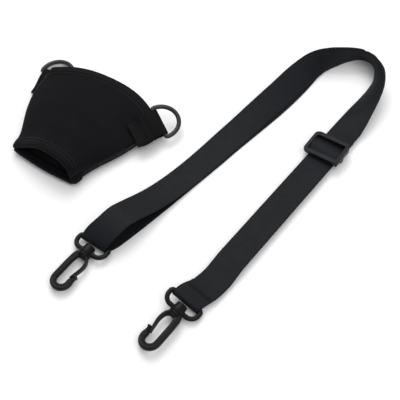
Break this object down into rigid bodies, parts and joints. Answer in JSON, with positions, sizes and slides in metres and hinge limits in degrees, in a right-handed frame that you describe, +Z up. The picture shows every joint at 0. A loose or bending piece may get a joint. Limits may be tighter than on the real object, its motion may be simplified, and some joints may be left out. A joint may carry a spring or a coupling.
{
  "type": "webbing strap with instrument cup",
  "caption": "Adjustable webbing strap with swivel snap hooks and a slider, and a flared neoprene instrument cup with webbing tabs and D-rings.",
  "frame": {"origin": "middle of the set's bounding box, on the plane that it lies on", "axes": "+Z up from the surface, +Y along the strap from its hooks to its bend, +X from the cup to the strap"},
  "size_m": [0.3, 0.3721, 0.0276],
  "materials": {
    "webbing": "woven black webbing, slight sheen",
    "matte_plastic": "moulded black plastic, fine matte grain",
    "gloss_plastic": "glossy moulded black plastic",
    "neoprene": "black jersey-faced neoprene",
    "binding": "ribbed black binding tape",
    "thread": "black overlock thread",
    "ring": "semi-gloss black coated wire"
  },
  "bodies": {
    "strap": {"strap_webbing": "webbing"},
    "slider": {"slider_frame": "matte_plastic", "slider_webbing_end": "webbing"},
    "loop_1": {"hook_1_loop": "gloss_plastic"},
    "hook_1": {"hook_1": "gloss_plastic"},
    "gate_1": {"hook_1_gate": "gloss_plastic"},
    "loop_2": {"hook_2_loop": "gloss_plastic"},
    "hook_2": {"hook_2": "gloss_plastic"},
    "gate_2": {"hook_2_gate": "gloss_plastic"},
    "cup": {"cup_front_panel": "neoprene", "cup_back_panel": "neoprene", "front_rim_binding": "binding", "back_rim_binding": "binding", "front_mouth_hem": "neoprene", "back_mouth_hem": "neoprene", "left_side_seam": "thread", "right_side_seam": "thread", "left_tab": "webbing", "right_tab": "webbing"},
    "left_ring": {"left_d_ring": "ring"},
    "right_ring": {"right_d_ring": "ring"}
  },
  "joints": [
    {"name": "slider_slide", "type": "slide", "parent": "strap", "child": "slider", "axis": [-0.1236, -0.9923, 0], "range_m": [0, 0.105]},
    {"name": "loop_1_hinge", "type": "hinge", "parent": "strap", "child": "loop_1", "pos_m": [0.0122, -0.1275, 0.0058], "axis": [0.9969, -0.0785, 0], "range_deg": [-45, 60]},
    {"name": "hook_1_swivel", "type": "hinge", "parent": "loop_1", "child": "hook_1", "pos_m": [0.01123, -0.13986, 0.0058], "axis": [-0.0785, -0.9969, 0], "continuous": true},
    {"name": "gate_1_spring", "type": "hinge", "parent": "hook_1", "child": "gate_1", "pos_m": [0.01539, -0.14942, 0.0058], "axis": [0, 0, -1], "range_deg": [0, 22], "stiffness_Nm_per_rad": 0.01, "springref_deg": -5.73},
    {"name": "loop_2_hinge", "type": "hinge", "parent": "strap", "child": "loop_2", "pos_m": [0.1037, -0.135, 0.007], "axis": [0.9671, -0.1187, -0.2249], "range_deg": [-60, 25]},
    {"name": "hook_2_swivel", "type": "hinge", "parent": "loop_2", "child": "hook_2", "pos_m": [0.10219, -0.14731, 0.007], "axis": [-0.1219, -0.9925, 0], "continuous": true},
    {"name": "gate_2_spring", "type": "hinge", "parent": "hook_2", "child": "gate_2", "pos_m": [0.09633, -0.15586, 0.0081], "axis": [0.2233, -0.0274, 0.9744], "range_deg": [0, 22], "stiffness_Nm_per_rad": 0.01, "springref_deg": -5.73},
    {"name": "cup_lift", "type": "slide", "parent": "strap", "child": "cup", "axis": [0, 0, 1], "range_m": [0, 0.05]},
    {"name": "left_ring_hinge", "type": "hinge", "parent": "cup", "child": "left_ring", "pos_m": [-0.1331, 0.0098, 0.0034], "axis": [0.9848, 0.1736, 0], "range_deg": [-30, 60]},
    {"name": "right_ring_hinge", "type": "hinge", "parent": "cup", "child": "right_ring", "pos_m": [-0.01, 0.0023, 0.0131], "axis": [0.8105, -0.487, -0.3256], "range_deg": [-25, 110]}
  ]
}
